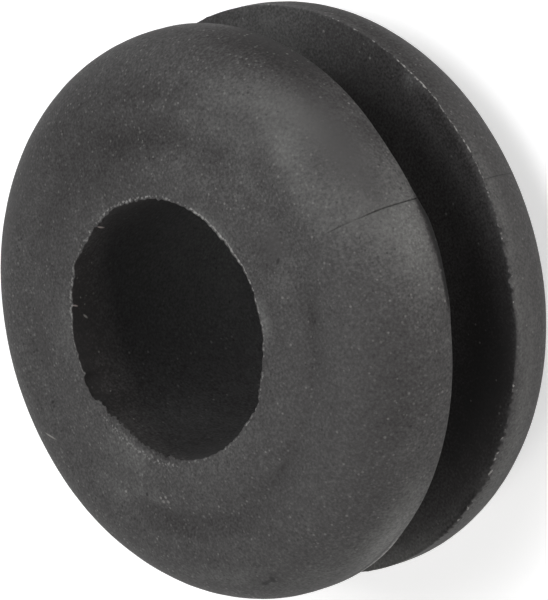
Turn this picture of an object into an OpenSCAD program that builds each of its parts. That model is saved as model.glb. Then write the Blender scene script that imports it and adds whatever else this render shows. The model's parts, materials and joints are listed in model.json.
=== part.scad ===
// Rubber grommet for edging a hole in a panel: one moulded ring with two equal
// flanges, a groove between them for the panel's edge, and a plain bore.
// It stands on one end, with the bore along Z and the origin at the middle of that end.

/* [Flanges] */
// Outside diameter of both flanges
flange_d = 18; // [14:0.1:26]
// Height of the straight band on the rim, beside the groove
rim_band_h = 0.4; // [0.1:0.05:1.5]
// Radius of the rounded shoulder between the rim and the face
shoulder_r = 2.45; // [1:0.05:3.5]

/* [Panel groove] */
// Width of the groove, which is the panel's thickness
groove_w = 2.9; // [0.8:0.1:6]
// Diameter of the groove's floor, which is the hole in the panel
groove_d = 12; // [9:0.1:16]
// Fillet where the groove's floor meets its side walls
groove_fillet_r = 0.3; // [0.1:0.05:0.6]

/* [Bore] */
// Diameter of the bore
bore_d = 8.1; // [4:0.1:10]

/* [Raised land] */
// Width of the flat land round each mouth of the bore
land_w = 0.45; // [0.3:0.05:2]
// Height of the land above the flange's face
land_h = 0.3; // [0.1:0.05:0.6]
// Radius of the long round by which the land falls away outwards
land_edge_r = 4; // [0.5:0.1:6]
// Radius of the valley at the land's foot
valley_r = 0.8; // [0.3:0.05:2]

/* [Hidden] */
$fn = 180;
rubber_colour = "#2b2a29";
// Narrowest flat left between the valley and the shoulder
least_flat = 0.05;
// Depth by which a drawn shape runs into its neighbour, so that they join as one
overlap = 0.2;

flange_r = flange_d / 2;
groove_r = groove_d / 2;
// Heights on a flange are measured from its side wall in the groove
face_h = rim_band_h + shoulder_r;
land_top_h = face_h + land_h;
overall_h = groove_w + 2 * land_top_h;

// The land's edge and the valley are two arcs that meet without a corner
land_flat_r = bore_d / 2 + land_w;
arcs_r = land_edge_r + valley_r;
valley_foot_r = land_flat_r + sqrt(2 * arcs_r * land_h - land_h * land_h);
land_edge_centre = [land_flat_r, land_top_h - land_edge_r];
valley_centre = [valley_foot_r, face_h + valley_r];

// Each rounding is no larger than its own wall allows
shoulder_fit_r = min(shoulder_r, flange_r - valley_foot_r - least_flat);
shoulder_centre = [flange_r - shoulder_fit_r, face_h - shoulder_fit_r];
groove_fillet_fit_r = min(groove_fillet_r, groove_w / 2);

// Rim, rounded shoulder and face of a flange, from the axis outwards
module shoulder_section() {
    square([shoulder_centre[0], face_h]);
    square([flange_r, shoulder_centre[1]]);
    intersection() {
        translate(shoulder_centre)
            circle(r = shoulder_fit_r);
        square([flange_r, face_h]);
    }
}

// Raised land with its rounded edge and the valley at its foot
module land_section() {
    square([land_flat_r, land_top_h]);
    intersection() {
        union() {
            translate(land_edge_centre)
                circle(r = land_edge_r);
            valley_section();
        }
        square([valley_foot_r, land_top_h]);
    }
}

// What lies under the valley's arc, out to where the arc meets the face
module valley_section() {
    difference() {
        polygon([land_edge_centre, [valley_foot_r, land_edge_centre[1]], valley_centre]);
        translate(valley_centre)
            circle(r = valley_r);
    }
}

// Fillet in the corner between the groove's floor and a flange's side wall
module groove_fillet_section() {
    difference() {
        translate([groove_r - overlap, -groove_fillet_fit_r])
            square(groove_fillet_fit_r + overlap);
        translate([groove_r + groove_fillet_fit_r, -groove_fillet_fit_r])
            circle(r = groove_fillet_fit_r);
    }
}

// One flange, with its side wall in the groove at height 0
module flange_section() {
    shoulder_section();
    land_section();
    groove_fillet_section();
}

// The ring's whole section: the web under the groove and a flange on each side of it
module ring_section() {
    translate([0, -groove_w / 2 - overlap])
        square([groove_r, groove_w + 2 * overlap]);
    for (side = [0, 1])
        mirror([0, side])
            translate([0, groove_w / 2])
                flange_section();
}

// The grommet, standing on its lower land
module grommet() {
    color(rubber_colour)
        translate([0, 0, overall_h / 2])
            difference() {
                rotate_extrude()
                    ring_section();
                cylinder(d = bore_d, h = overall_h + 2 * overlap, center = true);
            }
}

grommet();
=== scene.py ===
"""Looks of a moulded rubber grommet that stands on its lower land.

The ring is one mesh with the marks that its mould left: flash at the mouths of the bore and along
the rims, a parting line and a slight unevenness, with shallow pits and pores drawn as dots of
painted shade. It has a matt black rubber finish with a dusty bloom; its colour also carries painted
shade in the valley, the groove, the bore and the creases, and painted highlight on flash and in patches.

Lengths are in millimetres until a mesh, lamp or camera is made, because Blender's are in metres.
Heights are measured from the middle of the groove. Azimuths are in degrees about the bore's axis,
from +X towards +Y, and the mould's parting plane holds the X axis.
"""

from __future__ import annotations

import json
import logging
import math
from dataclasses import dataclass, field
from enum import Enum

import bpy
import numpy as np
from mathutils import Matrix, Vector, noise

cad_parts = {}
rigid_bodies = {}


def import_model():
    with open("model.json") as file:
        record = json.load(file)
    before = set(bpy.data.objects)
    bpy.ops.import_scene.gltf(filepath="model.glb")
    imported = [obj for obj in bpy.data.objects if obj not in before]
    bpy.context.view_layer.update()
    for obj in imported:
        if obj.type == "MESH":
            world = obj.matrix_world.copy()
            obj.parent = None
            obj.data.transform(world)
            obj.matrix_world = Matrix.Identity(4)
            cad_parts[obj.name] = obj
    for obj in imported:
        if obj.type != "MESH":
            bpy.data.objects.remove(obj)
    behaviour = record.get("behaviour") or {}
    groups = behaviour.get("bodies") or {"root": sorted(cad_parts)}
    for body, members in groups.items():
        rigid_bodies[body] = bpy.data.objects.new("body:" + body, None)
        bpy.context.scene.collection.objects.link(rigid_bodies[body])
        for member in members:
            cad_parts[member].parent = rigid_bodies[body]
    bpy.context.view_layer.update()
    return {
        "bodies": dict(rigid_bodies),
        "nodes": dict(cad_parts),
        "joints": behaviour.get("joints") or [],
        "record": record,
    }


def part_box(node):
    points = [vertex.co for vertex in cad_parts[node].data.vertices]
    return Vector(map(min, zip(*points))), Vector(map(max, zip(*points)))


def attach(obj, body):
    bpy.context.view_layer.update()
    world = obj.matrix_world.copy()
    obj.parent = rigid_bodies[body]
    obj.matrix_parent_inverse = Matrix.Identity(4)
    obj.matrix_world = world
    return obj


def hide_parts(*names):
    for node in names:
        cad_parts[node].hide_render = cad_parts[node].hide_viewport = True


log = logging.getLogger("grommet")

MM = 0.001
NODE = "grommet"
# The skin's layers: the bloom's tone with painted highlight and painted shade, smoothness, powder, pale
# flash with painted highlight, and painted shade.
LAYERS = ("bloom", "smooth", "powder", "flash", "grime")
# The most that a layer may hold, either way.
LAYER_LIMIT = 1.5
# The mesh's first steps away from an edge that carries flash.
EDGE_STEPS = (0.02, 0.04, 0.07, 0.11)

Tree = bpy.types.NodeTree
Socket = bpy.types.NodeSocket
# How much of a colour shows, and the colour.
Cover = tuple[Socket, str]


def linear(hex_colour: str) -> tuple[float, float, float, float]:
    """Turns an sRGB hex colour into Blender's linear colour.

    Args:
        hex_colour: the colour as "#rrggbb".

    Returns:
        Linear red, green and blue, and an alpha of 1.
    """
    channels = [int(hex_colour[i : i + 2], 16) / 255 for i in (1, 3, 5)]
    spread = [c / 12.92 if c <= 0.04045 else ((c + 0.055) / 1.055) ** 2.4 for c in channels]
    return (*spread, 1.0)


def add_node(
    tree: Tree, kind: str, inputs: dict[int | str, object] | None = None, **settings: object
) -> bpy.types.Node:
    """Adds one shader node.

    Args:
        tree: the node tree to add to.
        kind: the node's type without the ShaderNode before it, such as "Mix".
        inputs: input socket, by name or index, to its constant or to the output that feeds it.
        settings: properties of the node itself, such as operation="ADD".

    Returns:
        The new node.
    """
    node = tree.nodes.new("ShaderNode" + kind)
    for name, value in settings.items():
        setattr(node, name, value)
    for socket, value in (inputs or {}).items():
        if isinstance(value, Socket):
            tree.links.new(value, node.inputs[socket])
        else:
            node.inputs[socket].default_value = value
    return node


def angle_between(azimuths: np.ndarray, centre: float) -> np.ndarray:
    """Returns how far each azimuth is from a centre, from -180 to 180 degrees."""
    return (azimuths - centre + 180) % 360 - 180


def hump(distance: np.ndarray, half_width: float) -> np.ndarray:
    """Returns 1 where the distance is 0, falling smoothly to almost nothing at twice the half width."""
    return np.exp(-((distance / half_width) ** 2))


class Zone(Enum):
    """The stretches of the ring's section."""

    LAND = "flat land and the long round by which it falls away"
    FACE = "valley, face and rounded shoulder"
    RIM = "straight band on the rim"
    GROOVE = "groove's side wall and floor"
    BORE = "wall of the bore"


class Flange(Enum):
    """The two flanges, as the sign of their heights."""

    UPPER = 1
    LOWER = -1


UPPER, LOWER = Flange


@dataclass(frozen=True)
class RingSizes:
    """The ring's sizes in millimetres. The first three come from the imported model."""

    flange_r: float
    half_height: float
    bore_r: float
    groove_w: float = 2.9
    groove_r: float = 6.0
    groove_fillet_r: float = 0.3
    rim_band_h: float = 0.4
    land_w: float = 0.45
    land_h: float = 0.3
    land_edge_r: float = 4.0
    valley_r: float = 0.8

    @classmethod
    def from_frame(cls, frame: dict) -> RingSizes:
        """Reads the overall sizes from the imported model.


        Returns:
            The ring's sizes.
        """
        low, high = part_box(NODE)
        bore = next(m for m in frame["record"]["mounts"] if m["name"] == "bore")
        return cls(
            flange_r=(high.x - low.x) / 2 / MM,
            half_height=(high.z - low.z) / 2 / MM,
            bore_r=bore["dims"]["r_mm"],
        )

    @property
    def wall_z(self) -> float:
        """Height of a flange's side wall in the groove."""
        return self.groove_w / 2

    @property
    def face_z(self) -> float:
        """Height of a flange's face, under its land."""
        return self.half_height - self.land_h

    @property
    def shoulder_r(self) -> float:
        """Radius of the rounded shoulder, which fills the height between rim band and face."""
        return self.face_z - self.wall_z - self.rim_band_h

    @property
    def land_flat_r(self) -> float:
        """Outer radius of the flat part of the land."""
        return self.bore_r + self.land_w


@dataclass
class Section:
    """Half of the ring's section, from the bore's mouth round the outside to the groove's middle."""

    sizes: RingSizes
    points: list[tuple[float, float]] = field(default_factory=list)
    zones: list[Zone] = field(default_factory=list)

    def add(self, zone: Zone, points: list[tuple[float, float]]) -> None:
        """Appends points of one zone to the outline."""
        self.points += points
        self.zones += [zone] * len(points)

    def arc(
        self, zone: Zone, centre: tuple[float, float], radius: float, angles: tuple[float, float], steps: int
    ) -> None:
        """Appends an arc, without its first point, which the outline already has.

        Args:
            zone: the zone that the arc belongs to.
            centre: its centre, as radius from the axis and height.
            radius: its own radius.
            angles: its start and end, in degrees from outwards towards up.
            steps: number of points to add.
        """
        turns = np.radians(np.linspace(*angles, steps + 1)[1:])
        r, z = centre
        self.add(zone, [(r + radius * math.cos(turn), z + radius * math.sin(turn)) for turn in turns])

    def build(self) -> None:
        """Lays the outline out, with its points closest together at the edges that carry flash."""
        sizes = self.sizes
        top, wall, face = sizes.half_height, sizes.wall_z, sizes.face_z
        from_mouth = (0, *EDGE_STEPS, 0.17, 0.28, sizes.land_w)
        self.add(Zone.LAND, [(sizes.bore_r + step, top) for step in from_mouth])
        # The land's long round and the valley are two arcs that meet without a corner.
        arcs_r = sizes.land_edge_r + sizes.valley_r
        slope_w = math.sqrt(2 * arcs_r * sizes.land_h - sizes.land_h**2)
        meet = math.degrees(math.atan2(arcs_r - sizes.land_h, slope_w))
        land = (sizes.land_flat_r, top - sizes.land_edge_r)
        valley = (sizes.land_flat_r + slope_w, face + sizes.valley_r)
        shoulder = (sizes.flange_r - sizes.shoulder_r, face - sizes.shoulder_r)
        self.arc(Zone.LAND, land, sizes.land_edge_r, (90, meet), steps=7)
        self.arc(Zone.FACE, valley, sizes.valley_r, (meet + 180, 270), steps=4)
        self.add(Zone.FACE, [(shoulder[0], face)])
        self.arc(Zone.FACE, shoulder, sizes.shoulder_r, (90, 0), steps=16)
        from_edge = (0, *EDGE_STEPS, 0.16, 0.22, 0.3)
        self.add(Zone.RIM, [(sizes.flange_r, wall + step) for step in from_edge[::-1]])
        self.add(Zone.GROOVE, [(sizes.flange_r - step, wall) for step in (*from_edge[1:], 0.7, 1.5)])
        fillet = (sizes.groove_r + sizes.groove_fillet_r, wall - sizes.groove_fillet_r)
        self.add(Zone.GROOVE, [(fillet[0], wall)])
        self.arc(Zone.GROOVE, fillet, sizes.groove_fillet_r, (90, 180), steps=3)
        self.add(Zone.GROOVE, [(sizes.groove_r, wall / 3)])


@dataclass
class Skin:
    """The ring's surface as a grid, with a row for each azimuth and a column for each section point."""

    azimuths: np.ndarray
    points: np.ndarray
    zones: list[Zone]
    along: np.ndarray
    outwards: np.ndarray
    r: np.ndarray
    z: np.ndarray
    # The bloom's tone, which also holds painted highlight and painted shade.
    bloom: np.ndarray
    smooth: np.ndarray
    powder: np.ndarray
    flash: np.ndarray
    grime: np.ndarray

    @classmethod
    def over(cls, azimuths: np.ndarray, points: np.ndarray, zones: list[Zone], along: np.ndarray) -> Skin:
        """Lays an even skin over the section.

        Args:
            azimuths: the rows' azimuths.
            points: the closed section, as radius and height.
            zones: the zone of each section point.
            along: distance of each section point from the mouth, as outline() gives it.

        Returns:
            The skin, without any marks.
        """
        step = np.roll(points, -1, 0) - np.roll(points, 1, 0)
        step /= np.linalg.norm(step, axis=1)[:, None]
        shape = (len(azimuths), len(points))
        r, z = (np.broadcast_to(points[:, i], shape).copy() for i in (0, 1))
        outwards = np.column_stack([-step[:, 1], step[:, 0]])
        blank = (np.zeros(shape) for _ in range(5))
        return cls(azimuths, points, zones, along, outwards, r, z, *blank)

    def within(self, *zones: Zone) -> np.ndarray:
        """Returns which section points lie in the given zones."""
        return np.array([zone in zones for zone in self.zones])

    def on(self, flange: Flange) -> np.ndarray:
        """Returns which section points lie on a flange's half."""
        return self.points[:, 1] * flange.value > 0

    def place(self) -> np.ndarray:
        """Returns each point's place in millimetres, with heights from the groove's middle."""
        turn = np.radians(self.azimuths)[:, None]
        return np.stack([self.r * np.cos(turn), self.r * np.sin(turn), self.z], -1)

    def ripple(self, seed: int, coarsest: int, finest: int) -> np.ndarray:
        """Makes an even random ripple round the ring that closes on itself.

        Args:
            seed: picks the ripple.
            coarsest: fewest waves round the ring.
            finest: most waves round the ring.

        Returns:
            The ripple's height at each azimuth, with a root mean square of about 1.
        """
        rng = np.random.default_rng(seed)
        waves = np.arange(coarsest, finest + 1)
        phases = rng.uniform(0, 2 * math.pi, len(waves))
        heights = rng.normal(0, 1, len(waves))
        heights /= math.sqrt((heights**2).sum() / 2)
        return (heights * np.cos(np.radians(self.azimuths)[:, None] * waves + phases)).sum(1)

    def raise_by(self, height: np.ndarray) -> None:
        """Moves each point out of the surface."""
        self.r += height * self.outwards[:, 0]
        self.z += height * self.outwards[:, 1]


@dataclass(frozen=True)
class Nick:
    """A local change to an edge: positive takes rubber away, negative leaves some standing.

    The azimuth and half width are in degrees. The size is in millimetres, or is the share of
    something that is there. A steeper nick has sharper corners.
    """

    azimuth: float
    half_width: float
    size: float
    steepness: float = 3.0
    least_depth: float = 0.13
    most_depth: float = 2.0
    depth_to_width: float = 1.5

    def at(self, azimuths: np.ndarray) -> np.ndarray:
        """Returns the nick's size at each azimuth."""
        away = np.abs(angle_between(azimuths, self.azimuth)) / self.half_width
        return self.size / (1 + away ** (2 * self.steepness))

    def depth(self, edge_r: float) -> float:
        """Returns how far the nick in a round edge runs down its wall: more for a wider one."""
        depth = self.depth_to_width * math.radians(self.half_width) * edge_r
        return min(max(self.least_depth, depth), self.most_depth)


@dataclass(frozen=True)
class Mark:
    """A spot or a scratch on the upper flange or in the bore, too small for the mesh to carry.

    Its ends are given by azimuth and by distance from the mouth of the bore along the section, as a
    patch's middle is, and its half width is in millimetres.
    """

    start: tuple[float, float]
    end: tuple[float, float]
    half_width: float
    colour: str
    share: float = 1.0


PlacedMark = tuple[Vector, Vector, Mark]


@dataclass(frozen=True)
class Patch:
    """A soft-edged patch, by azimuth and by distance from the mouth of the bore along the section.

    The distance is negative down the bore. Laid on the tone, a positive amount lightens it, partly as
    thicker bloom and partly as painted highlight, and a negative one darkens it, partly as rubbed-off
    bloom and partly as painted shade; laid on the smoothness, it rubs the skin smooth. At a sharpness
    of 1 it fades like a bell curve.
    """

    azimuth: float
    along: float
    half_angle: float
    half_length: float
    amount: float
    flange: Flange = UPPER
    sharpness: float = 1.3

    def over(self, skin: Skin) -> np.ndarray:
        """Works out the patch's amount over the ring.

        Args:
            skin: the skin to cover.

        Returns:
            The amount at each point of the skin.
        """
        around = angle_between(skin.azimuths, self.azimuth)[:, None] / self.half_angle
        away = (skin.along - self.along) / self.half_length
        bore = skin.within(Zone.BORE)
        side = bore if self.along < 0 else skin.on(self.flange) & ~bore
        return self.amount * np.exp(-((around**2 + away**2) ** self.sharpness)) * side


@dataclass
class MouldedRing:
    """The whole grommet as one mesh, with the marks of its mould."""

    sizes: RingSizes
    # The mesh's rows: even ones, with closer ones at the parting line and along torn edges.
    rows: int = 360
    parting_step: float = 0.06
    parting_stretch: float = 0.54
    dense_step: float = 0.5
    dense: tuple[tuple[float, float], ...] = ((-84, 52), (140, 247))
    # How far the upper flange leans and towards which azimuth, how far the lower one is spread, and
    # the width past the groove's fillet over which both set in.
    lean: float = 0.042
    lean_azimuth: float = -101.0
    spread: float = 0.016
    set_in_w: float = 1.5
    corner_r: float = 0.04
    # Length and height of the rubber's waves, at each of two scales, and their share in the groove
    # and the bore.
    waves: tuple[tuple[float, float], ...] = ((2.6, 0.012), (0.45, 0.0022))
    hidden_waves: float = 0.3
    # How far the land counts as near a mouth, and how far marks reach from the mouths, the rims'
    # edges and the crest of flash.
    near_mouth: float = 0.7
    mouth_reach: float = 0.13
    rim_reach: float = 0.12
    crest_reach: float = 0.035
    # How ragged the two mouths are, and how deep, where and with how soft ends the upper one is torn.
    ragged: float = 0.012
    lower_ragged: float = 0.02
    torn_depth: float = 0.05
    torn_stretch: tuple[float, float] = (190, 243)
    torn_fade: float = 3.0
    # The upper mouth: where it is more ragged, its nicks and the crumbs, bare rubber and the ledge of
    # painted shade beside its tear, and how much more flash and painted highlight its lip has in places.
    ragged_side: Nick = Nick(90, 45, 0.008)
    crumbs: Nick = Nick(220, 28, 0.5)
    bare: Nick = Nick(222, 20, 0.6)
    ledge: Nick = Nick(186, 11, 0.6, 4)
    mouth_nicks: tuple[Nick, ...] = (
        Nick(-38, 88, 0.075, 5), Nick(-1, 8, 0.06), Nick(-24, 5, 0.045), Nick(22, 6, -0.03, 1.5),
        Nick(77, 5, -0.045, 1.5), Nick(108, 12, -0.04), Nick(127.5, 3, 0.08), Nick(147, 0.6, -0.08, 2),
        Nick(168, 10, 0.08), Nick(178, 0.6, -0.1, 2), Nick(184.5, 6, 0.21, 4),
        Nick(196.5, 1.2, -0.04, 4), Nick(209, 7, -0.11, 6), Nick(224.5, 9, -0.06, 4),
        Nick(240.5, 1.4, -0.08), Nick(303.5, 4.5, 0.1),
    )
    lip_share: tuple[Nick, ...] = (
        Nick(20, 22, 0.7), Nick(-20, 12, 0.1), Nick(80, 12, 0.25), Nick(148, 15, 0.45),
        Nick(252, 22, -0.4),
    )
    # The lip's flash elsewhere, how much that waves, and the lip's height at a share of 1 and at least.
    lip_usual: float = 0.38
    lip_wave: float = 0.45
    lip_h: float = 0.025
    least_lip_h: float = 0.004
    # The painted highlight beside the lip: how far off it lies and reaches, its least strength, what the
    # lip's flash and the waves in that add, and what the tear takes away.
    glow_off: float = 0.07
    glow_reach: float = 0.075
    glow_least: float = 0.42
    glow_more: float = 0.2
    glow_wave: float = 0.06
    glow_torn: float = 0.55
    # How far off the crumbs lie and reach, how far down the bore the ledge's painted shade reaches, and
    # how much painted shade darkens the tear there.
    crumbs_off: float = 0.27
    crumbs_reach: float = 0.17
    ledge_reach: float = 0.3
    torn_shade: float = 0.3
    # The rims: where they keep a thin line of flash, pale partly as painted highlight, where the upper
    # one has a thick tail of it and the lower one crumbles, and their nicks and pale beads.
    line_share: Nick = Nick(14, 24, 0.8, 2.5)
    tail_share: Nick = Nick(-82, 9, 0.8)
    crumble: tuple[Nick, ...] = (Nick(-63, 21, 0.09, 5), Nick(-15.5, 6.5, 0.085, 5))
    rim_nicks: tuple[Nick, ...] = (
        Nick(-45, 24, -0.045, 4), Nick(-85, 10, -0.15, 2), Nick(-12, 11.5, -0.13, 4),
        Nick(-8, 5.5, -0.07, 2), Nick(13, 5, 0.035, 2), Nick(32, 9, -0.05, 2),
    )
    lower_rim_nicks: tuple[Nick, ...] = (
        Nick(20.5, 3.5, -0.06, 2), Nick(5, 6, -0.075, 2), Nick(-13.8, 0.5, 0.06),
        Nick(-15.3, 0.5, 0.07), Nick(-19.7, 0.4, -0.07), Nick(-20.6, 0.5, 0.09),
        Nick(-22.4, 0.5, -0.09), Nick(-22, 4.5, 0.07), Nick(-40, 4, 0.04), Nick(-58, 3, 0.05),
        Nick(-64, 2.5, -0.09), Nick(-70, 4, 0.06),
    )
    beads: tuple[Nick, ...] = (
        Nick(28.5, 0.3, 0.7), Nick(24.5, 0.3, 0.6), Nick(22.5, 0.3, 0.7), Nick(-41.5, 0.4, 1.1),
        Nick(-53, 0.45, 0.9), Nick(-58, 0.5, 1), Nick(-61.5, 0.6, 1.2), Nick(-69.5, 0.4, 0.9),
        Nick(-71.5, 0.6, 1.1), Nick(-75.5, 0.5, 0.8),
    )
    # How ragged the lower rim is, and how far its crumbled edge and its beads reach.
    rim_ragged: float = 0.006
    crumble_reach: float = 0.08
    bead_reach: float = 0.06
    # The tail: its usual flash and painted highlight and the waves in it, how far it reaches, and how far
    # off the dark line beside it lies and reaches.
    tail_flash_and_highlight: float = 1.3
    tail_wave: float = 0.2
    tail_reach: float = 0.11
    tail_line_off: float = 0.16
    tail_line_reach: float = 0.03
    # The thin line of flash: its seed and share on each rim, its usual flash and painted highlight and
    # the waves in it, its height and how far it wanders, how pale its beads are and what height of ripple
    # makes one.
    rim_lines: tuple[tuple[Flange, int, float], ...] = ((UPPER, 7, 0.2), (LOWER, 9, 1.0))
    line_flash_and_highlight: float = 0.77
    line_wave: float = 0.2
    line_h: float = 0.03
    line_wander: float = 0.015
    line_beads: float = 0.9
    beads_from: float = 1.1
    # Painted shade on the tongue of torn skin on the upper rim's edge and on the brow above it, with the
    # strength of each by height over the edge, and how far the shade darkens the tongue's tone and how
    # much of the shade's colour covers it.
    tongue: Nick = Nick(-10.5, 10.5, 1, 5)
    tongue_by_height: tuple[tuple[float, float], ...] = (
        (0, 1.0), (0.02, 0.95), (0.04, 0.85), (0.07, 0.55), (0.11, 0),
    )
    brow: Nick = Nick(-6, 5.5, 1)
    brow_by_height: tuple[tuple[float, float], ...] = (
        (0, 0), (0.04, 0.3), (0.07, 1.0), (0.11, 1.3), (0.16, 0.3), (0.22, 0),
    )
    tongue_shade_tone: float = 2.6
    tongue_shade_cover: float = 0.75
    # The parting line: the share of its depth at each azimuth and on the lower flange, its width,
    # how far it wanders and by how many radians to a millimetre, and the depth at which its painted shade is
    # full.
    parting_sides: tuple[tuple[float, float], ...] = ((0.0, 1.0), (180.0, 0.35))
    parting_lower: float = 0.5
    parting_reach: float = 0.02
    parting_wander: float = 0.012
    wander_rate: float = 7.0
    dark_depth: float = 0.06
    marks: tuple[Mark, ...] = (
        Mark((153.2, -0.49), (154.5, -0.6), 0.035, "#8a8886", 0.8),
        Mark((105.4, -0.1), (107.6, -0.45), 0.035, "#b5aba8"),
        Mark((147.2, 0.0), (148.2, -0.2), 0.03, "#a39a98"),
        Mark((-174.3, 3.32), (-171.4, 2.98), 0.035, "#858380"),
        Mark((-142.9, 2.03), (-143.1, 2.05), 0.04, "#8d8b89", 0.8),
        Mark((-127.4, 1.49), (-127.0, 1.5), 0.05, "#8d8b89", 0.7),
        Mark((-126.4, 1.6), (-126.0, 1.61), 0.055, "#8d8b89", 0.6),
        Mark((-125.1, 1.41), (-124.7, 1.42), 0.05, "#8d8b89", 0.7),
        Mark((-124.2, 1.55), (-123.8, 1.56), 0.055, "#8d8b89", 0.6),
        Mark((-179.8, 2.25), (-179.8, 2.31), 0.05, "#161515"),
        Mark((-179, 2.45), (-177.4, 2.45), 0.03, "#2b2a2a", 0.6),
        Mark((-0.6, 1.44), (0.2, 1.53), 0.05, "#161515", 0.8),
        Mark((-20.2, 2.13), (-20.8, 2.19), 0.045, "#141313"),
        Mark((-24.6, 1.98), (-25.2, 1.98), 0.03, "#222121", 0.6),
        Mark((-133.3, 1.57), (-133.7, 1.63), 0.055, "#161515", 0.9),
        Mark((-97.6, 4.36), (-97.9, 4.48), 0.1, "#161515", 0.9),
        Mark((-101.1, 4.5), (-100.5, 4.5), 0.1, "#161515", 0.85),
        Mark((-97.8, 4.42), (-100.8, 4.5), 0.065, "#1d1c1c", 0.7),
        Mark((-96.6, 4.18), (-97, 4.18), 0.085, "#2b2a2a", 0.55),
        Mark((-97.6, 3.76), (-98, 3.76), 0.075, "#2b2a2a", 0.5),
    )
    # The powder: the least, what its own side adds, and its shares on the lower flange and in the
    # groove and the bore.
    least_powder: float = 0.45
    powder_side: Nick = Nick(165, 95, 1, 2)
    more_powder: float = 0.3
    lower_powder: float = 0.7
    hidden_powder: float = 0.15
    # Painted shade in the valley, with the waves in it, in the groove and in the bore, how far along the
    # valley's foot lies and reaches, and how far into the groove the painted shade grows to full.
    valley_shade: float = 0.12
    valley_wave: float = 0.1
    valley_along: float = 1.85
    valley_reach: float = 0.25
    groove_shade: float = 0.6
    groove_fade: float = 0.5
    bore_shade: float = 0.5
    # Where the tone is lighter or darker: partly thick or thin bloom, partly painted highlight and painted
    # shade; and where the skin is rubbed smooth.
    bloom_and_painted_light_patches: tuple[Patch, ...] = (
        Patch(44, 6.5, 18, 1.2, -1.3), Patch(-4, 5.9, 12, 1.1, 0.85), Patch(2, 4.2, 9, 0.8, 0.4),
        Patch(15, 3.6, 8, 0.6, 0.3), Patch(30, 4.5, 13, 0.9, 0.6), Patch(-74, 6.4, 14, 0.9, 1.05),
        Patch(90, 1.7, 26, 1.1, -0.55), Patch(97, 3.4, 22, 0.9, -0.3), Patch(132, 1.3, 18, 0.7, -0.3),
        Patch(-105, 2.3, 26, 0.4, -0.45), Patch(-126, 2.3, 13, 0.35, -0.3),
        Patch(-133, 1.65, 10, 0.16, 0.45), Patch(-18, 2.1, 5, 0.12, -0.45),
        Patch(0.5, 1.0, 2.0, 0.2, -0.3), Patch(70, 1.7, 18, 0.5, -0.3), Patch(56, 1.1, 16, 0.5, 0.2),
        Patch(38, 2.15, 8, 0.25, -0.3), Patch(68, 3.3, 13, 0.4, -0.35), Patch(44, 3.9, 7, 0.5, 0.35),
        Patch(-12, 6.2, 10, 0.6, 0.3), Patch(-67, 6.1, 14, 0.6, 0.25), Patch(-90, 5.2, 12, 0.7, 0.4),
        Patch(25.5, 6.96, 2.5, 0.2, 0.9, LOWER), Patch(72, 2.3, 14, 0.4, -0.25),
        Patch(-30, 2.0, 16, 0.3, -0.25), Patch(3, 1.2, 6, 0.4, -0.25), Patch(28, 2.1, 9, 0.4, 0.4),
        Patch(163, 1.6, 10, 0.35, -0.35), Patch(-19, 0.26, 9, 0.25, 0.85),
        Patch(24, 0.12, 14, 0.2, 0.45), Patch(38, 0.12, 9, 0.15, 0.5), Patch(-52, 5.2, 6, 0.5, 0.25),
        Patch(73, 2.1, 8, 0.5, 0.25), Patch(57, 2.2, 6, 0.4, -0.3),
        Patch(-28, 6.62, 12, 0.12, 0.45, LOWER), Patch(-6, 1.5, 8, 0.6, 0.2),
        Patch(70, 5.8, 8, 0.35, -0.4), Patch(61, 6.7, 5, 0.25, 0.5),
        Patch(54, 7.9, 4, 0.5, -0.4, LOWER), Patch(22.5, 3.75, 5, 0.4, 0.5),
        Patch(33, 3.0, 7, 0.4, 0.25), Patch(3.5, 5.6, 5, 0.5, -0.35), Patch(16, 6.5, 5, 0.4, -0.3),
        Patch(-110, 4.0, 13, 0.35, 0.4), Patch(-95, 0.4, 25, 0.4, 0.2), Patch(46, 2.8, 10, 0.5, 0.25),
        Patch(9, 3.4, 9, 0.5, 0.25), Patch(-40, 4.7, 20, 0.8, -0.3), Patch(214, 2.15, 8, 0.4, 0.5),
        Patch(216, 0.8, 18, 0.8, 0.3), Patch(160, -0.3, 38, 0.7, -0.9), Patch(158, 0.4, 16, 0.5, 0.3),
        Patch(218, 0.3, 12, 0.35, 0.35), Patch(212, -1.6, 13, 1.7, 0.5), Patch(97, -1.6, 18, 1.6, -0.3),
        Patch(216, -0.8, 14, 0.6, -0.4), Patch(138, -6.5, 40, 2.8, 1.7),
        Patch(142, -2.8, 14, 1.6, 0.35), Patch(197, -1.0, 7, 0.6, -0.4),
        Patch(66, 7.6, 20, 1.0, 0.8, LOWER), Patch(-45, 7.9, 26, 1.1, -0.8, LOWER),
        Patch(52, 6.2, 22, 0.5, -0.6, LOWER), Patch(30, 6.6, 16, 0.6, -0.4, LOWER),
        Patch(62, 8.4, 22, 0.8, 0.8, LOWER), Patch(-60, 6.2, 25, 0.5, 0.7, LOWER),
        Patch(-22, 6.3, 18, 0.4, 0.3, LOWER), Patch(-30, 7.05, 18, 0.25, -0.5, LOWER),
        Patch(-2, 6.5, 11, 0.25, 0.4, LOWER), Patch(8, 6.98, 15, 0.2, -0.6, LOWER),
        Patch(-100, 7.0, 19, 0.5, 1.15, LOWER),
    )
    rubbed_patches: tuple[Patch, ...] = (
        Patch(17, 5.3, 17, 0.8, 1.0), Patch(27, 4.0, 24, 1.1, 0.35), Patch(5, 1.6, 6, 0.4, 0.7),
        Patch(-45, 3.5, 48, 2.6, 0.35), Patch(128, 3.6, 18, 0.5, 0.6),
        Patch(-12, 6.0, 50, 0.7, 0.5, LOWER),
    )

    skin: Skin = field(init=False)
    off_mouth: np.ndarray = field(init=False)
    off_rim: np.ndarray = field(init=False)

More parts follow.
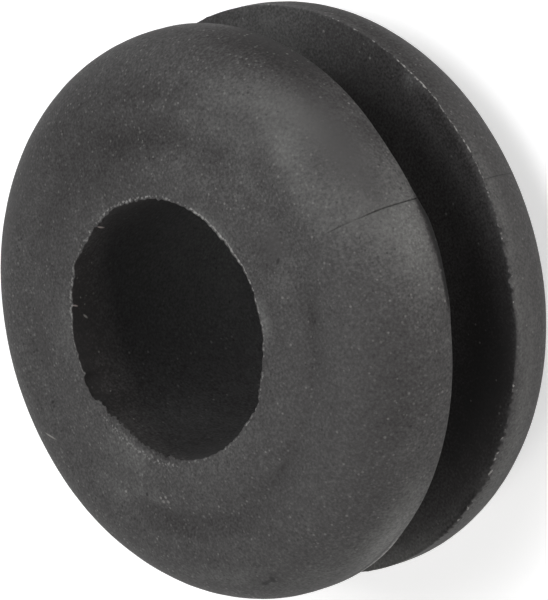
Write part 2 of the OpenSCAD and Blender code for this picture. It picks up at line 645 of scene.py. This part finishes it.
    def azimuth_rows(self) -> np.ndarray:
        """Lists the mesh's azimuths, close together at the parting line and along torn edges.

        Returns:
            The azimuths from 0 to 360 degrees, in order and each of them once.
        """
        even = np.arange(self.rows) * 360 / self.rows
        fine = np.arange(-self.parting_stretch, self.parting_stretch + 1e-6, self.parting_step)
        dense = [np.arange(*stretch, self.dense_step) for stretch in self.dense]
        rows = np.concatenate([even, fine, 180 + fine, *dense]) % 360
        return np.unique(rows.round(3))

    def outline(self) -> tuple[np.ndarray, list[Zone], np.ndarray]:
        """Closes the section: the upper half, the lower half, and up the bore's wall.

        Returns:
            The points, the zone of each, and its distance along the outside from its own flange's
            mouth, or as a negative number down the bore from the upper mouth.
        """
        half = Section(self.sizes)
        half.build()
        upper = np.array(half.points)
        lower = upper[::-1] * (1, -1)
        depths = np.array([*EDGE_STEPS, 0.17, 0.3, 0.8, 2.2])
        top = self.sizes.half_height
        heights = np.concatenate([-top + depths, (0.0,), (top - depths)[::-1]])
        bore = np.column_stack([np.full(len(heights), self.sizes.bore_r), heights])
        steps = np.hypot(*np.diff(upper, axis=0).T)
        along = np.concatenate([[0.0], np.cumsum(steps)])
        zones = half.zones + half.zones[::-1] + [Zone.BORE] * len(bore)
        along = np.concatenate([along, along[::-1], heights - top])
        return np.concatenate([upper, lower, bore]), zones, along

    def lay_skin(self) -> None:
        """Lays the skin over the section and gives it its marks, one after another."""
        self.skin = Skin.over(self.azimuth_rows(), *self.outline())
        self.measure_from_edges()
        self.spread_bloom_and_shading()
        self.set_off_centre()
        self.round_rims()
        self.lay_tongue()
        self.tear_upper_mouth()
        self.leave_lip()
        self.roughen_lower_mouth()
        self.chip_rims()
        self.leave_tail()
        self.leave_rim_flash_and_highlight()
        self.score_parting_line()
        self.skin.raise_by(self.unevenness())

    def measure_from_edges(self) -> None:
        """Works out how far each section point is from its mouth and from its rim's edge, if near."""
        skin, sizes = self.skin, self.sizes
        r, height = skin.points[:, 0], np.abs(skin.points[:, 1])
        bore, land = skin.within(Zone.BORE), skin.within(Zone.LAND) & (skin.along < self.near_mouth)
        self.off_mouth = np.where(bore, sizes.half_height - height, np.where(land, skin.along, np.inf))
        near_rim = skin.within(Zone.RIM, Zone.GROOVE)
        self.off_rim = np.where(near_rim, np.hypot(r - sizes.flange_r, height - sizes.wall_z), np.inf)

    def spread_bloom_and_shading(self) -> None:
        """Lays on the bloom in patches, with painted highlight and painted shade among them, painted shade
        in the valley, the groove and the bore, and the powder.
        """
        skin = self.skin
        for patch in self.bloom_and_painted_light_patches:
            skin.bloom += patch.over(skin)
        for patch in self.rubbed_patches:
            skin.smooth += patch.over(skin)
        # Painted shade: darker in the valley's hollow, in the groove between the flanges and down the bore.
        valley = hump(skin.along - self.valley_along, self.valley_reach)
        valley = valley * skin.within(Zone.LAND, Zone.FACE)
        skin.bloom -= valley * (self.valley_shade + self.valley_wave * skin.ripple(21, 2, 9))[:, None]
        into_groove = np.clip((self.sizes.flange_r - skin.points[:, 0]) / self.groove_fade, 0, 1)
        skin.bloom -= self.groove_shade * into_groove * skin.within(Zone.GROOVE)
        skin.bloom -= self.bore_shade * skin.within(Zone.BORE)
        skin.powder += self.least_powder + self.more_powder * self.powder_side.at(skin.azimuths)[:, None]
        skin.powder *= np.where(skin.on(UPPER), 1.0, self.lower_powder)
        skin.powder *= np.where(skin.within(Zone.BORE, Zone.GROOVE), self.hidden_powder, 1.0)

    def set_off_centre(self) -> None:
        """Leans the upper flange a little to one side of the bore and spreads the lower one."""
        skin, sizes = self.skin, self.sizes
        past_fillet = skin.points[:, 0] - sizes.groove_r - sizes.groove_fillet_r
        outer = np.clip(past_fillet / self.set_in_w, 0, 1)
        lean = self.lean * np.cos(np.radians(skin.azimuths - self.lean_azimuth))
        skin.r += np.outer(lean, outer * skin.on(UPPER))
        skin.r += self.spread * outer * skin.on(LOWER)

    def round_rims(self) -> None:
        """Rounds the corners between the rims and the groove."""
        skin, sizes = self.skin, self.sizes
        for flange in Flange:
            rim = skin.within(Zone.RIM) & skin.on(flange)
            wall = skin.within(Zone.GROOVE) & skin.on(flange)
            past = np.where(rim, sizes.wall_z - np.abs(skin.points[:, 1]), 0)
            past = np.where(wall, sizes.flange_r - skin.points[:, 0], past)
            bent = (rim | wall) & (np.abs(past) < self.corner_r)
            angle = (past / self.corner_r + 1) * math.pi / 4
            drawn_in = sizes.flange_r - self.corner_r * (1 - np.cos(angle)) - skin.points[:, 0]
            skin.r += np.where(bent, drawn_in, 0)
            height = sizes.wall_z + self.corner_r * (1 - np.sin(angle))
            skin.z = np.where(bent, height * flange.value, skin.z)

    def lay_tongue(self) -> None:
        """Paints shade on the tongue of torn skin on the upper rim's edge and on the brow above it."""
        skin = self.skin
        upper_rim = skin.within(Zone.RIM) & skin.on(UPPER)
        over_edge = skin.points[:, 1] - self.sizes.wall_z
        foot = np.interp(over_edge, *zip(*self.tongue_by_height))
        brow = np.interp(over_edge, *zip(*self.brow_by_height))
        tongue = self.tongue.at(skin.azimuths)
        skin.bloom -= np.outer(tongue, self.tongue_shade_tone * (foot * upper_rim))
        skin.bloom -= np.outer(self.brow.at(skin.azimuths), brow * upper_rim)
        skin.grime += np.outer(self.tongue_shade_cover * tongue, foot * upper_rim)

    def torn(self) -> np.ndarray:
        """Returns 1 over the torn stretch of the upper mouth and 0 elsewhere, with soft ends."""
        past_start, past_end = ((self.skin.azimuths - end) / self.torn_fade for end in self.torn_stretch)
        return 1 / (1 + np.exp(-past_start)) / (1 + np.exp(past_end))

    def tear_upper_mouth(self) -> None:
        """Gives the bore's upper mouth its ragged outline, and its wall the grooves of the nicks."""
        skin, azimuths, upper = self.skin, self.skin.azimuths, self.skin.on(UPPER)
        reach = hump(self.off_mouth, self.mouth_reach)
        ragged = (self.ragged + self.ragged_side.at(azimuths)) * skin.ripple(3, 20, 140)
        ragged += self.torn_depth * self.torn() * np.tanh(skin.ripple(4, 40, 240))
        skin.r += np.outer(ragged, reach * upper)
        for nick in self.mouth_nicks:
            wall = skin.within(Zone.BORE) * hump(self.off_mouth, nick.depth(self.sizes.bore_r))
            skin.r += np.outer(nick.at(azimuths), wall + reach * skin.within(Zone.LAND) * upper)

    def leave_lip(self) -> None:
        """Leaves a lip of flash round the upper mouth, pale partly as painted highlight, with crumbs, and
        paints shade on the ledge by its tear.
        """
        skin, azimuths, upper = self.skin, self.skin.azimuths, self.skin.on(UPPER)
        share = self.lip_usual + sum(nick.at(azimuths) for nick in self.lip_share)
        uneven = 1 + self.lip_wave * skin.ripple(5, 8, 160)
        lip = np.clip(self.lip_h * uneven * share, self.least_lip_h, None)
        skin.z += np.outer(lip, hump(self.off_mouth, self.crest_reach) * upper)
        glow = skin.within(Zone.LAND) * hump(self.off_mouth - self.glow_off, self.glow_reach) * upper
        strength = self.glow_least + (self.glow_more + self.glow_wave * uneven) * share
        skin.flash += np.outer(strength - self.glow_torn * self.torn(), glow)
        crumbs = skin.within(Zone.LAND) * hump(self.off_mouth - self.crumbs_off, self.crumbs_reach) * upper
        skin.flash += np.outer(self.crumbs.at(azimuths), crumbs)
        skin.bloom -= np.outer(self.bare.at(azimuths), glow)
        ledge = skin.within(Zone.BORE) * hump(self.off_mouth, self.ledge_reach) * upper
        skin.grime += np.outer(self.ledge.at(azimuths) + self.torn_shade * self.torn(), ledge)

    def roughen_lower_mouth(self) -> None:
        """Makes the bore's lower mouth slightly ragged."""
        reach = hump(self.off_mouth, self.mouth_reach) * self.skin.on(LOWER)
        self.skin.r += np.outer(self.lower_ragged * self.skin.ripple(6, 6, 120), reach)

    def chip_rims(self) -> None:
        """Chips the groove's edge of both rims, and leaves crumbs and beads on the lower one."""
        skin, azimuths, lower = self.skin, self.skin.azimuths, self.skin.on(LOWER)
        crumble = sum(nick.at(azimuths) for nick in self.crumble)
        crumbly = (self.rim_ragged + crumble) * np.tanh(skin.ripple(11, 80, 250))
        skin.z += np.outer(crumbly, hump(self.off_rim, self.crumble_reach) * lower)
        beads = sum(bead.at(azimuths) for bead in self.beads)
        skin.flash += np.outer(beads, hump(self.off_rim, self.bead_reach) * lower)
        for flange, rim_nicks in ((UPPER, self.rim_nicks), (LOWER, self.lower_rim_nicks)):
            nicks = sum(nick.at(azimuths) for nick in rim_nicks)
            skin.z += np.outer(nicks, hump(self.off_rim, self.rim_reach) * skin.on(flange))

    def leave_tail(self) -> None:
        """Leaves the thick tail of flash, pale partly as painted highlight, on the upper rim's edge, with a
        dark line above it.
        """
        skin, azimuths, upper = self.skin, self.skin.azimuths, self.skin.on(UPPER)
        tail = self.tail_share.at(azimuths)
        line = hump(self.off_rim - self.tail_line_off, self.tail_line_reach) * skin.within(Zone.RIM)
        skin.bloom -= np.outer(tail, line * upper)
        thick = tail * (self.tail_flash_and_highlight + self.tail_wave * skin.ripple(13, 30, 300))
        skin.flash += np.outer(thick, hump(self.off_rim, self.tail_reach) * upper)

    def leave_rim_flash_and_highlight(self) -> None:
        """Leaves a thin beaded line of flash, pale partly as painted highlight, on the groove's edge of both
        rims.
        """
        skin, azimuths = self.skin, self.skin.azimuths
        line = self.line_share.at(azimuths)
        wavy = self.line_wander * line * skin.ripple(17, 30, 200)
        skin.z += np.outer(wavy, hump(self.off_rim, self.rim_reach) * skin.on(LOWER))
        for flange, seed, share in self.rim_lines:
            crest = hump(self.off_rim, self.crest_reach) * skin.on(flange)
            thin = line * np.clip(self.line_flash_and_highlight + self.line_wave * skin.ripple(seed, 50, 340), 0, 1)
            beads = np.clip(skin.ripple(seed + 20, 60, 300) - self.beads_from, 0, 1)
            flash = share * (thin + self.line_beads * beads)
            skin.r += np.outer(self.line_h * flash, crest)
            skin.flash += np.outer(np.clip(flash, 0, 1), crest)

    def score_parting_line(self) -> None:
        """Scores the mould's parting line, which wanders a little, into the outside of both flanges, with
        painted shade as deep as its cut.
        """
        skin = self.skin
        r, outside = skin.points[:, 0], skin.within(Zone.LAND, Zone.FACE, Zone.RIM)
        known_r = [0, 7.4, 7.6, 8.05, 8.2, 8.4, 8.5, self.sizes.flange_r]
        known_depth = [0, 0, 0.02, 0.025, 0.004, 0.004, 0.034, 0.038]
        depth = np.interp(r, known_r, known_depth) * outside
        depth = depth * np.where(skin.on(UPPER), 1.0, self.parting_lower)
        for centre, share in self.parting_sides:
            arc = np.radians(angle_between(skin.azimuths, centre))[:, None] * r
            off_line = arc + self.parting_wander * np.sin(self.wander_rate * r)
            cut = hump(off_line, self.parting_reach) * depth * share
            skin.raise_by(-cut)
            # Painted shade in the scored line, darker where it is deeper.
            skin.grime += np.clip(cut / self.dark_depth, 0, 1)

    def unevenness(self) -> np.ndarray:
        """Works out the slight waviness of rubber that has left its mould.

        Returns:
            Height of the waves at each point, in millimetres.
        """
        place = self.skin.place()
        height = np.zeros(place.shape[:2])
        for length, amount in self.waves:
            waves = [noise.noise(Vector(p / length)) for p in place.reshape(-1, 3)]
            height += amount * np.reshape(waves, height.shape)
        return height * np.where(self.skin.within(Zone.BORE, Zone.GROOVE), self.hidden_waves, 1)

    def mark_places(self) -> list[PlacedMark]:
        """Works out where the small marks lie, in metres, on a ring that stands on the floor.

        Returns:
            For each mark the places of its two ends, and the mark.
        """
        skin, bore = self.skin, self.skin.within(Zone.BORE)
        outside = skin.on(UPPER) & ~bore
        place = skin.place() + (0, 0, self.sizes.half_height)
        found = []
        for mark in self.marks:
            ends = []
            for azimuth, along in (mark.start, mark.end):
                row = place[np.argmin(np.abs(angle_between(skin.azimuths, azimuth)))]
                side = bore if along < 0 else outside
                r = np.interp(along, skin.along[side], np.hypot(*row[side, :2].T))
                z = np.interp(along, skin.along[side], row[side, 2])
                turn = math.radians(azimuth)
                ends.append(Vector((r * math.cos(turn), r * math.sin(turn), z)) * MM)
            found.append((*ends, mark))
        return found

    def mesh(self) -> bpy.types.Object:
        """Joins the skin's points into a closed ring.

        Returns:
            The ring as an object, with the skin's layers as attributes.
        """
        place = self.skin.place() + (0, 0, self.sizes.half_height)
        rows, steps = place.shape[:2]
        row, step = np.meshgrid(np.arange(rows), np.arange(steps), indexing="ij")
        next_row, next_step = (row + 1) % rows, (step + 1) % steps
        corners = ((row, step), (row, next_step), (next_row, next_step), (next_row, step))
        faces = np.stack([a * steps + b for a, b in corners], -1).reshape(-1, 4)
        data = bpy.data.meshes.new("moulded_ring")
        data.from_pydata((place.reshape(-1, 3) * MM).tolist(), [], faces.tolist())
        for name in LAYERS:
            layer = data.attributes.new(name, "FLOAT", "POINT")
            values = np.clip(getattr(self.skin, name), -LAYER_LIMIT, LAYER_LIMIT).astype(np.float32)
            layer.data.foreach_set("value", values.ravel())
        data.shade_smooth()
        ring = bpy.data.objects.new("moulded_ring", data)
        bpy.context.scene.collection.objects.link(ring)
        return ring


@dataclass(frozen=True)
class Texture:
    """One scale of the rubber's skin: its size, and how far it moves the tone and the relief."""

    size_mm: float
    detail: float
    tone: float
    relief: float = 0.0


@dataclass(frozen=True)
class MouldedRubber:
    """Black rubber, compression moulded in a blasted steel mould, with a dusty bloom.

    The soot in it makes it nearly black. The bloom turns it to a dry dark grey, thick in some places
    and rubbed off in others, and the same tone carries painted highlight in patches and painted shade in
    the valley, the groove, the bore and the creases. The blasted mould gives it a fine tooth, and release
    powder pale specks; its pores show as dots of painted shade. The broad sheen is that of a rough
    surface. Thin flash lets light in and looks paler, and its pale colour is partly painted highlight on
    lips too fine to catch the light.
    """

    tones: tuple[tuple[float, str], ...] = (
        (-1.6, "#0f0e0e"),
        (-1.0, "#1d1b1b"),
        (0.0, "#414040"),
        (1.0, "#616160"),
        (1.6, "#787877"),
    )
    # Pale flash, partly its own colour and partly painted highlight on lips and edges too fine for the mesh
    # to catch the light.
    flash: str = "#9b9a98"
    speck: str = "#a3a29f"
    # Colour of the painted shade in creases, on the tongue, by the tear and in pores.
    crease: str = "#0d0d0d"
    ior: float = 1.38
    roughness: float = 0.8
    # The real tooth and dust are finer than this, down to a hundredth of a millimetre. They are
    # drawn as coarse as they need to be to show while the whole grommet is in view.
    grain: Texture = Texture(0.09, 1, 2.2, 0.25)
    tooth: Texture = Texture(0.16, 2, 0.5, 0.6)
    mottle: Texture = Texture(0.5, 3, 0.85)
    relief_mm: float = 0.012
    relief_strength: float = 0.5
    rubbed_loss: float = 0.85
    # A speck's radius in cells and its share are pairs: the least, and what chance adds to it. The
    # rarity is the power that keeps strong ones few.
    speck_cell_mm: float = 0.15
    drift_mm: float = 2.5
    speck_r: tuple[float, float] = (0.26, 0.12)
    speck_share: tuple[float, float] = (0.16, 0.2)
    speck_rarity: float = 2.5
    speck_edge: float = 6.0
    # The pores are dots of painted shade.
    pore_share: float = 0.6
    pore_chance: float = 0.25
    # The sums of flash with its painted highlight and grain, and the half widths of a mark, at which it
    # starts and is full.
    flash_and_highlight_edge: tuple[float, float] = (0.96, 1.36)
    mark_edge: tuple[float, float] = (1.3, 0.6)

    def material(self, marks: list[PlacedMark]) -> bpy.types.Material:
        """Builds the rubber's material.

        Args:
            marks: the small marks, with the places of their two ends.

        Returns:
            The material.
        """
        made = bpy.data.materials.new("moulded_black_rubber")
        made.use_nodes = True
        tree = made.node_tree
        tree.nodes.clear()
        place = add_node(tree, "TexCoord").outputs["Object"]
        layers = {name: add_node(tree, "Attribute", attribute_name=name).outputs["Fac"] for name in LAYERS}
        # Where the skin is rubbed smooth, little of its texture is left.
        smooth = {0: layers["smooth"], 1: -self.rubbed_loss, 2: 1.0}
        texture = add_node(tree, "Math", smooth, operation="MULTIPLY_ADD").outputs[0]
        bloom, relief, grain = self.skin_texture(tree, place, layers["bloom"], texture)
        colour = self.tone_of_bloom_and_shading(tree, bloom)
        for share, over in (
            *self.specks(tree, place, layers["powder"], texture),
            # Flash, pale partly as painted highlight.
            (self.flash_and_highlight_cover(tree, layers["flash"], grain), self.flash),
            # Painted shade in creases, on the tongue and on the ledge by the tear.
            (layers["grime"], self.crease),
            *self.small_marks(tree, place, marks),
        ):
            mix = {0: share, 6: colour, 7: linear(over)}
            colour = add_node(tree, "Mix", mix, data_type="RGBA").outputs[2]
        height = {"Height": relief, "Strength": self.relief_strength, "Distance": self.relief_mm * MM}
        normal = add_node(tree, "Bump", height).outputs["Normal"]
        # Where the painted shade lies the rubber is rougher too, so that a crease hardly shines.
        crease = {0: layers["grime"], 1: 1 - self.roughness, 2: self.roughness}
        rough = add_node(tree, "Math", crease, operation="MULTIPLY_ADD", use_clamp=True).outputs[0]
        surface = {"Base Color": colour, "Normal": normal, "Roughness": rough, "IOR": self.ior}
        shader = add_node(tree, "BsdfPrincipled", surface).outputs["BSDF"]
        add_node(tree, "OutputMaterial", {"Surface": shader})
        return made

    def skin_texture(self, tree: Tree, place: Socket, bloom: Socket, texture: Socket) -> tuple[Socket, ...]:
        """Adds the grain, tooth and mottle to the bloom and its painted highlight and shade.

        Args:
            tree: the node tree to add to.
            place: the point's place on the ring.
            bloom: how thick the bloom is, with the painted highlight and shade, from the mesh.
            texture: how much of the texture is left there.

        Returns:
            The textured bloom and painted shading, the height of the relief, and the grain itself from 0 to
            1.
        """
        relief, grain = 0.0, None
        for scale in (self.mottle, self.tooth, self.grain):
            pitch = {"Scale": 1 / (scale.size_mm * MM), "Detail": scale.detail, "Roughness": 0.6}
            grain = add_node(tree, "TexNoise", {"Vector": place, **pitch}).outputs["Fac"]
            even = {0: grain, 1: scale.tone, 2: -scale.tone / 2}
            tone = add_node(tree, "Math", even, operation="MULTIPLY_ADD").outputs[0]
            added = {0: tone, 1: texture, 2: bloom}
            bloom = add_node(tree, "Math", added, operation="MULTIPLY_ADD").outputs[0]
            raised = {0: grain, 1: scale.relief, 2: relief}
            relief = add_node(tree, "Math", raised, operation="MULTIPLY_ADD").outputs[0]
        relief = add_node(tree, "Math", {0: relief, 1: texture}, operation="MULTIPLY").outputs[0]
        return bloom, relief, grain

    def tone_of_bloom_and_shading(self, tree: Tree, bloom: Socket) -> Socket:
        """Gives the rubber its colour, from black where it is bare or in painted shade to grey where the
        bloom is thick or painted highlight lies.

        Args:
            tree: the node tree to add to.
            bloom: how thick the bloom is, with painted highlight and painted shade.

        Returns:
            The colour.
        """
        low, high = self.tones[0][0], self.tones[-1][0]
        span = {"Value": bloom, "From Min": low, "From Max": high}
        level = add_node(tree, "MapRange", span).outputs["Result"]
        ramp = add_node(tree, "ValToRGB", {"Fac": level})
        elements = ramp.color_ramp.elements
        elements.remove(elements[0])
        elements[0].position = 0
        for _ in self.tones[1:]:
            elements.new(1)
        for element, (thickness, tone) in zip(elements, self.tones):
            element.position = (thickness - low) / (high - low)
            element.color = linear(tone)
        return ramp.outputs["Color"]

    def specks(self, tree: Tree, place: Socket, powder: Socket, texture: Socket) -> list[Cover]:
        """Scatters dark pores, as dots of painted shade, and pale specks of release powder, one to a cell at
        most.

        Args:
            tree: the node tree to add to.
            place: the point's place on the ring.
            powder: how much powder there is, from the mesh.
            texture: how much of the texture is left there.

        Returns:
            How much of the pores shows and of the specks, each with its colour.
        """
        scattered = {"Vector": place, "Scale": 1 / (self.speck_cell_mm * MM)}
        cells = add_node(tree, "TexVoronoi", scattered).outputs
        chance = add_node(tree, "SeparateColor", {0: cells["Color"]}).outputs
        drifting = {"Vector": place, "Scale": 1 / (self.drift_mm * MM), "Detail": 1}
        drift = add_node(tree, "TexNoise", drifting).outputs["Fac"]
        least_r, more_r = self.speck_r
        least, more = self.speck_share
        sums = (
            ("size", "MULTIPLY_ADD", chance[1], more_r, least_r),
            ("inside", "SUBTRACT", "size", cells["Distance"], 0),
            ("dot", "MULTIPLY", "inside", self.speck_edge, 0),
            ("round", "MINIMUM", "dot", 1.0, 0),
            ("solid", "MAXIMUM", "round", 0.0, 0),
            ("shown", "MULTIPLY", "solid", texture, 0),
            ("many", "MULTIPLY", drift, powder, 0),
            ("pale", "LESS_THAN", chance[0], "many", 0),
            ("rare", "POWER", chance[2], self.speck_rarity, 0),
            ("strong", "MULTIPLY_ADD", "rare", more, least),
            ("pale_dot", "MULTIPLY", "pale", "shown", 0),
            ("speck", "MULTIPLY", "pale_dot", "strong", 0),
            ("few", "MULTIPLY_ADD", powder, -self.pore_chance, 1.0),
            ("dark", "GREATER_THAN", chance[0], "few", 0),
            ("dark_dot", "MULTIPLY", "dark", "shown", 0),
            ("pore", "MULTIPLY", "dark_dot", self.pore_share, 0),
        )
        known: dict[str, Socket] = {}
        for name, operation, *terms in sums:
            values = {i: known[term] if term in known else term for i, term in enumerate(terms)}
            known[name] = add_node(tree, "Math", values, operation=operation).outputs[0]
        return [(known["pore"], self.crease), (known["speck"], self.speck)]

    def flash_and_highlight_cover(self, tree: Tree, flash: Socket, grain: Socket) -> Socket:
        """Breaks the flash and its painted highlight up with the grain.

        Args:
            tree: the node tree to add to.
            flash: how much pale flash and painted highlight there is, from the mesh.
            grain: the grain, from 0 to 1.

        Returns:
            How much of the pale colour of flash and painted highlight shows.
        """
        both = add_node(tree, "Math", {0: flash, 1: grain}, operation="ADD").outputs[0]
        start, full = self.flash_and_highlight_edge
        sharp = {"Value": both, "From Min": start, "From Max": full}
        return add_node(tree, "MapRange", sharp).outputs["Result"]

    def small_marks(self, tree: Tree, place: Socket, marks: list[PlacedMark]) -> list[Cover]:
        """Draws each mark as a long ellipsoid, which colours the skin inside it.

        Args:
            tree: the node tree to add to.
            place: the point's place on the ring.
            marks: the marks, with the places of their two ends.

        Returns:
            How much of each mark shows, with its colour.
        """
        outer, inner = self.mark_edge
        shares = []
        for start, end, mark in marks:
            width = mark.half_width * MM
            length = (end - start).length / 2 + width
            frame = {
                "Vector": place,
                "Location": (start + end) / 2,
                "Rotation": (end - start).to_track_quat("X", "Z").to_euler(),
                "Scale": (length, width, width),
            }
            inside = add_node(tree, "Mapping", frame, vector_type="TEXTURE").outputs[0]
            away = add_node(tree, "VectorMath", {0: inside}, operation="LENGTH").outputs["Value"]
            soft = {"Value": away, "From Min": outer, "From Max": inner, "To Max": mark.share}
            shares.append((add_node(tree, "MapRange", soft).outputs["Result"], mark.colour))
        return shares


@dataclass(frozen=True)
class Viewpoint:
    """Where the camera stands: angles in degrees, lengths in millimetres, from the groove's middle."""

    from_axis: float = 46.08
    azimuth: float = -11.0
    roll: float = -105.91
    distance: float = 270.0
    aside: float = 0.127
    below: float = 0.021
    pixels_per_mm: float = 32.278
    frame_h_px: int = 600
    sensor_mm: float = 36.0

    def place(self, centre_z: float) -> bpy.types.Object:
        """Makes the camera.

        Args:
            centre_z: height of the groove's middle above the floor, in millimetres.

        Returns:
            The camera, set as the scene's own.
        """
        polar, turn, roll = (math.radians(a) for a in (self.from_axis, self.azimuth, self.roll))
        around = Vector((math.cos(turn), math.sin(turn), 0))
        axis = Vector((0, 0, 1))
        back = around * math.sin(polar) + axis * math.cos(polar)
        level_up = axis * math.sin(polar) - around * math.cos(polar)
        level_right = level_up.cross(back)
        right = level_right * math.cos(roll) + level_up * math.sin(roll)
        up = level_up * math.cos(roll) - level_right * math.sin(roll)
        data = bpy.data.cameras.new("camera")
        data.sensor_width = self.sensor_mm
        data.lens = self.pixels_per_mm * self.distance / self.frame_h_px * self.sensor_mm
        data.clip_start, data.clip_end = 0.01, 10.0
        camera = bpy.data.objects.new("camera", data)
        where = axis * centre_z + back * self.distance + right * self.aside - up * self.below
        turned = Matrix((right, up, back)).transposed().to_4x4()
        camera.matrix_world = Matrix.Translation(where * MM) @ turned
        bpy.context.scene.collection.objects.link(camera)
        bpy.context.scene.camera = camera
        return camera


@dataclass(frozen=True)
class Softbox:
    """A square softbox that faces the ring: direction in degrees, size and distance in metres."""

    name: str
    azimuth: float
    elevation: float
    power: float
    size: float
    colour: str = "#ffffff"
    distance: float = 0.5

    def place(self, centre: Vector) -> bpy.types.Object:
        """Makes the lamp and turns it towards the ring.

        Args:
            centre: the ring's centre, in metres.

        Returns:
            The lamp.
        """
        turn, rise = math.radians(self.azimuth), math.radians(self.elevation)
        level = Vector((math.cos(turn), math.sin(turn), 0))
        towards = level * math.cos(rise) + Vector((0, 0, math.sin(rise)))
        data = bpy.data.lights.new(self.name, "AREA")
        data.size, data.energy, data.color = self.size, self.power, linear(self.colour)[:3]
        lamp = bpy.data.objects.new(self.name, data)
        lamp.location = centre + towards * self.distance
        lamp.rotation_mode = "QUATERNION"
        lamp.rotation_quaternion = towards.to_track_quat("Z", "Y")
        bpy.context.scene.collection.objects.link(lamp)
        return lamp


@dataclass(frozen=True)
class Studio:
    """A white table and surround, soft lamps and a plain world."""

    floor_side: float = 2.0
    floor_colour: str = "#e6e6e6"
    floor_lift: float = 0.6
    lift_from_m: float = 0.015
    lift_full_m: float = 0.15
    world_level: float = 0.016
    lamps: tuple[Softbox, ...] = (
        Softbox("key", 60, 66, 1.46, 0.25, "#fdfeff"),
        Softbox("low_side", -8, 8, 1.2, 0.12, "#fffbf8"),
        Softbox("front", 70, 36, 0.12, 0.15),
        Softbox("back", 250, 60, 0.45, 0.25),
        Softbox("far_side", 210, 38, 0.35, 0.25, "#fffaf5"),
    )

    def build(self, centre: Vector) -> None:
        """Makes the floor, the lamps and the world.

        Args:
            centre: the ring's centre, in metres.
        """
        half = self.floor_side / 2
        corners = [(-half, -half, 0), (half, -half, 0), (half, half, 0), (-half, half, 0)]
        data = bpy.data.meshes.new("floor")
        data.from_pydata(corners, [], [(0, 1, 2, 3)])
        floor = bpy.data.objects.new("floor", data)
        bpy.context.scene.collection.objects.link(floor)
        data.materials.append(self.floor_material())
        for lamp in self.lamps:
            lamp.place(centre)
        self.set_world()

    def seen_directly(self, tree: Tree) -> Socket:
        """Tells the rays that look at something from the rays that light it.

        Args:
            tree: the node tree to add to.

        Returns:
            1 for rays from the camera, a mirror or glass, and 0 for the others.
        """
        path = add_node(tree, "LightPath").outputs
        seen = path["Is Camera Ray"]
        for name in ("Is Glossy Ray", "Is Transmission Ray"):
            seen = add_node(tree, "Math", {0: seen, 1: path[name]}, operation="MAXIMUM").outputs[0]
        return seen

    def floor_material(self) -> bpy.types.Material:
        """Makes white matt paper, lifted to white where it is seen.

        Close to the ring it is lifted only part of the way, so that the ring keeps its shadow.

        Returns:
            The material.
        """
        made = bpy.data.materials.new("white_paper")
        made.use_nodes = True
        tree = made.node_tree
        tree.nodes.clear()
        place = add_node(tree, "TexCoord").outputs["Object"]
        away = add_node(tree, "VectorMath", {0: place}, operation="LENGTH").outputs["Value"]
        reach = {"Value": away, "From Min": self.lift_from_m, "From Max": self.lift_full_m}
        level = add_node(tree, "MapRange", reach | {"To Min": self.floor_lift}).outputs["Result"]
        both = {0: self.seen_directly(tree), 1: level}
        lift = add_node(tree, "Math", both, operation="MULTIPLY").outputs[0]
        paper = add_node(tree, "BsdfDiffuse", {"Color": linear(self.floor_colour)}).outputs[0]
        glow = add_node(tree, "Emission", {"Strength": lift}).outputs[0]
        surface = add_node(tree, "AddShader", {0: paper, 1: glow}).outputs[0]
        add_node(tree, "OutputMaterial", {"Surface": surface})
        return made

    def set_world(self) -> None:
        """Lights from all round at a plain level, and shows white where it is seen."""
        world = bpy.data.worlds.new("studio_world")
        bpy.context.scene.world = world
        world.use_nodes = True
        tree = world.node_tree
        tree.nodes.clear()
        levels = {"Value": self.seen_directly(tree), "To Min": self.world_level}
        strength = add_node(tree, "MapRange", levels).outputs["Result"]
        light = {"Color": linear("#ffffff"), "Strength": strength}
        sky = add_node(tree, "Background", light).outputs[0]
        add_node(tree, "OutputWorld", {"Surface": sky})


def main() -> None:
    """Builds the ring in its frame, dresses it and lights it."""
    logging.basicConfig(level=logging.INFO, format="%(name)s: %(message)s")
    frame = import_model()
    sizes = RingSizes.from_frame(frame)

    moulded = MouldedRing(sizes)
    moulded.lay_skin()
    ring = moulded.mesh()
    ring.data.materials.append(MouldedRubber().material(moulded.mark_places()))
    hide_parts(NODE)
    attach(ring, "root")
    log.info("%s: %d vertices, %d faces", ring.name, len(ring.data.vertices), len(ring.data.polygons))

    Viewpoint().place(sizes.half_height)
    Studio().build(Vector((0, 0, sizes.half_height * MM)))
    bpy.context.scene.view_settings.view_transform = "Standard"


if __name__ == "__main__":
    main()
